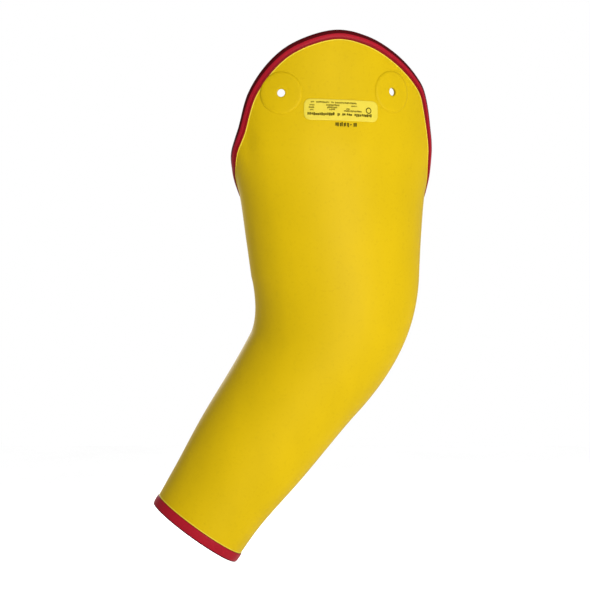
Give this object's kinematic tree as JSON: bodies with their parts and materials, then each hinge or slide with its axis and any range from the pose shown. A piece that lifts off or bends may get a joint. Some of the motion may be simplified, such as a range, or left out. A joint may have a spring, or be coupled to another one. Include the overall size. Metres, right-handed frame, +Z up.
{
  "type": "insulating rubber sleeve",
  "caption": "Moulded insulating rubber sleeve with a curved elbow, a shoulder flap with harness button holes, and bound edges at the shoulder and cuff.",
  "frame": {"origin": "centre of the front harness button hole at the outer pad's face", "axes": "+Z up towards the shoulder as the sleeve hangs, +X towards the back of the arm, -Y out of the arm's outer side"},
  "size_m": [0.3725, 0.1934, 0.6952],
  "materials": {
    "yellow_rubber": "satin moulded rubber",
    "red_rubber": "satin moulded rubber",
    "pad_rubber": "satin moulded rubber",
    "label_rubber": "matt printed rubber"
  },
  "bodies": {
    "upper_arm": {"upper_arm_wall": "yellow_rubber", "shoulder_flap": "yellow_rubber", "elbow_wall": "yellow_rubber", "shoulder_binding": "red_rubber", "front_outer_pad": "pad_rubber", "front_inner_pad": "pad_rubber", "rear_outer_pad": "pad_rubber", "rear_inner_pad": "pad_rubber", "label_patch": "label_rubber"},
    "forearm": {"forearm_wall": "yellow_rubber", "cuff_binding": "red_rubber"}
  },
  "joints": [
    {"name": "elbow_flex", "type": "hinge", "parent": "upper_arm", "child": "forearm", "pos_m": [0.06357, 0.10284, -0.29605], "axis": [0, 1, 0], "range_deg": [-25, 20], "stiffness_Nm_per_rad": 1.5, "springref_deg": 11.03, "deforming": ["elbow_wall"]}
  ]
}
